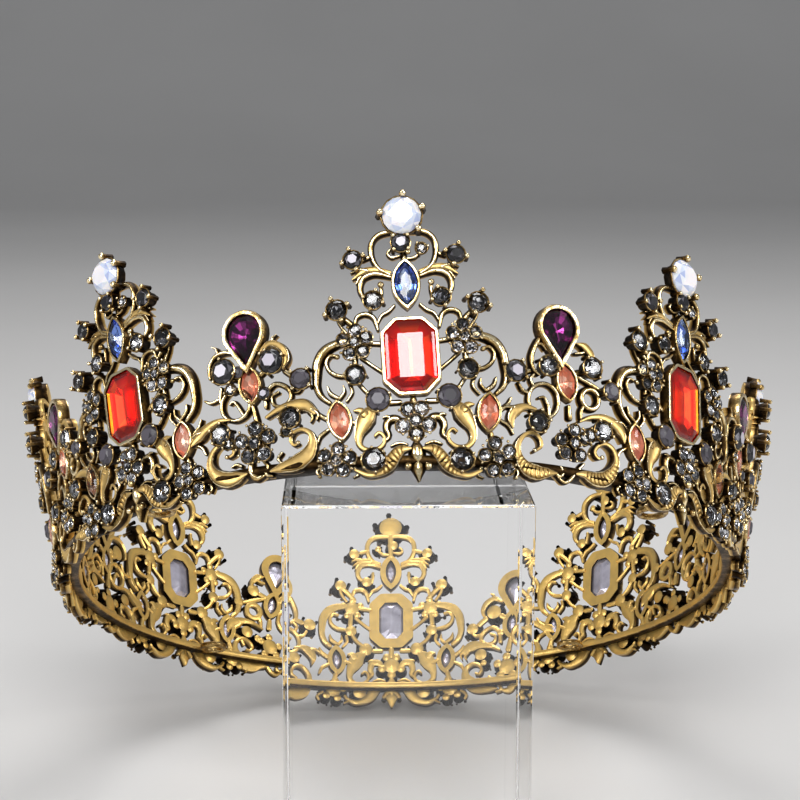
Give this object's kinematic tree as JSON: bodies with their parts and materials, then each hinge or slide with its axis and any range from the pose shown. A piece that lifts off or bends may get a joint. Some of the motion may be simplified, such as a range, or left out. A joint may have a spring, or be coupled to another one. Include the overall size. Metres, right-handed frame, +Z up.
{
  "type": "baroque tiara crown on acrylic block stand",
  "caption": "Full round baroque crown of antique gold openwork with cut glass stones, leaning on a clear acrylic block that shows it off.",
  "frame": {"origin": "centre of the footprint of the crown and its block, on the surface that they stand on", "axes": "+Z up, the crown's front and the block's front face towards -Y, +X to the viewer's right"},
  "size_m": [0.1588, 0.1596, 0.1253],
  "materials": {
    "antique_gold": "antique gold plate, satin, with dark recesses and bright worn edges",
    "red_glass": "bright orange-red cut glass with a foiled back",
    "blue_glass": "light sapphire blue cut glass",
    "opal_glass": "milky white opal glass, cut",
    "purple_glass": "dark amethyst purple cut glass",
    "orange_glass": "peach-orange cut glass",
    "black_glass": "jet black cut glass",
    "smoky_glass": "smoky grey cut glass with a foiled back",
    "clear_acrylic": "polished clear acrylic"
  },
  "bodies": {
    "root": {"large_panel_1": "antique_gold", "large_panel_2": "antique_gold", "large_panel_3": "antique_gold", "large_panel_4": "antique_gold", "large_panel_5": "antique_gold", "large_panel_6": "antique_gold", "large_panel_7": "antique_gold", "large_panel_8": "antique_gold", "pear_panel_1": "antique_gold", "pear_panel_2": "antique_gold", "pear_panel_3": "antique_gold", "pear_panel_4": "antique_gold", "pear_panel_5": "antique_gold", "pear_panel_6": "antique_gold", "pear_panel_7": "antique_gold", "pear_panel_8": "antique_gold", "red_stone_1": "red_glass", "red_stone_2": "red_glass", "red_stone_3": "red_glass", "red_stone_4": "red_glass", "red_stone_5": "red_glass", "red_stone_6": "red_glass", "red_stone_7": "red_glass", "red_stone_8": "red_glass", "blue_stone_1": "blue_glass", "blue_stone_2": "blue_glass", "blue_stone_3": "blue_glass", "blue_stone_4": "blue_glass", "blue_stone_5": "blue_glass", "blue_stone_6": "blue_glass", "blue_stone_7": "blue_glass", "blue_stone_8": "blue_glass", "opal_stone_1": "opal_glass", "opal_stone_2": "opal_glass", "opal_stone_3": "opal_glass", "opal_stone_4": "opal_glass", "opal_stone_5": "opal_glass", "opal_stone_6": "opal_glass", "opal_stone_7": "opal_glass", "opal_stone_8": "opal_glass", "pear_stone_1": "purple_glass", "pear_stone_2": "purple_glass", "pear_stone_3": "purple_glass", "pear_stone_4": "purple_glass", "pear_stone_5": "purple_glass", "pear_stone_6": "purple_glass", "pear_stone_7": "purple_glass", "pear_stone_8": "purple_glass", "hair_loop_1": "antique_gold", "hair_loop_2": "antique_gold", "hair_loop_3": "antique_gold", "hair_loop_4": "antique_gold", "orange_stones": "orange_glass", "black_stones": "black_glass", "smoky_stones": "smoky_glass", "acrylic_block": "clear_acrylic"}
  },
  "joints": []
}
